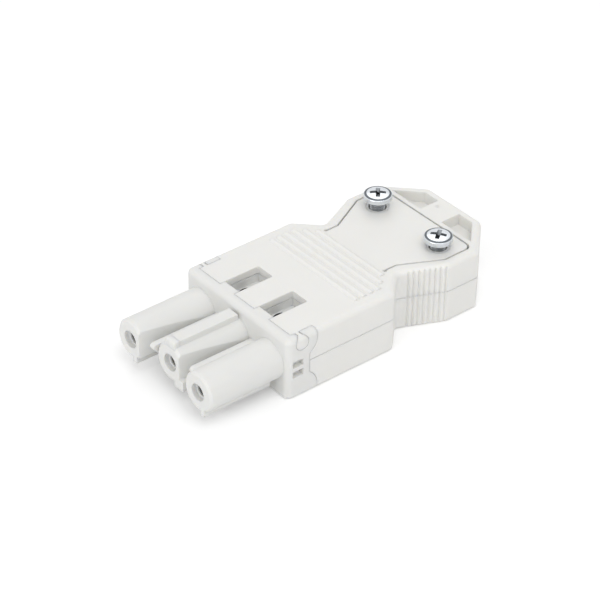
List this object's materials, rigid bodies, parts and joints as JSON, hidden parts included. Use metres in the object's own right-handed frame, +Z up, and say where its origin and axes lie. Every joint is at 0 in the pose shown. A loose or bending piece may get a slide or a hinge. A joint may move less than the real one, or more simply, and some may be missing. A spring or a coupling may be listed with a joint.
{
  "type": "three-pole installation connector socket with strain relief housing",
  "caption": "White three-pole pluggable installation connector, socket half, with a clamshell strain-relief housing and cross-recess clamp screws.",
  "frame": {"origin": "centre of the bounding box on the underside of the housing", "axes": "+X to the cable end, -X out of the mating barrels, +Y to the left pole, +Z up"},
  "size_m": [0.0698, 0.03, 0.0162],
  "materials": {
    "shell_plastic": "moulded white polyamide, satin",
    "carrier_plastic": "moulded white polyamide, satin",
    "zinc_steel": "bright zinc plated steel",
    "tinned_contact": "tinned copper alloy",
    "terminal_brass": "turned brass",
    "spring_steel": "bright spring steel"
  },
  "bodies": {
    "root": {"contact_carrier": "carrier_plastic", "upper_shell": "shell_plastic", "lower_shell": "shell_plastic", "socket_contact_left": "tinned_contact", "socket_contact_centre": "tinned_contact", "socket_contact_right": "tinned_contact", "contact_spring_left": "spring_steel", "contact_spring_centre": "spring_steel", "contact_spring_right": "spring_steel", "terminal_block_left": "terminal_brass", "terminal_block_centre": "terminal_brass", "terminal_block_right": "terminal_brass", "clamp_nut_left": "zinc_steel", "clamp_nut_right": "zinc_steel"},
    "terminal_screw_left_body": {"terminal_screw_left": "zinc_steel", "pressure_plate_left": "spring_steel"},
    "terminal_screw_centre_body": {"terminal_screw_centre": "zinc_steel", "pressure_plate_centre": "spring_steel"},
    "terminal_screw_right_body": {"terminal_screw_right": "zinc_steel", "pressure_plate_right": "spring_steel"},
    "clamp_screw_left_body": {"clamp_screw_left": "zinc_steel"},
    "clamp_screw_right_body": {"clamp_screw_right": "zinc_steel"}
  },
  "joints": [
    {"name": "terminal_screw_left_feed", "type": "slide", "parent": "root", "child": "terminal_screw_left_body", "axis": [0, 0, -1], "range_m": [0, 0.001]},
    {"name": "terminal_screw_centre_feed", "type": "slide", "parent": "root", "child": "terminal_screw_centre_body", "axis": [0, 0, -1], "range_m": [0, 0.001]},
    {"name": "terminal_screw_right_feed", "type": "slide", "parent": "root", "child": "terminal_screw_right_body", "axis": [0, 0, -1], "range_m": [0, 0.001]},
    {"name": "clamp_screw_left_feed", "type": "slide", "parent": "root", "child": "clamp_screw_left_body", "axis": [0, 0, -1], "range_m": [0, 0.00175]},
    {"name": "clamp_screw_right_feed", "type": "slide", "parent": "root", "child": "clamp_screw_right_body", "axis": [0, 0, -1], "range_m": [0, 0.0013]}
  ]
}
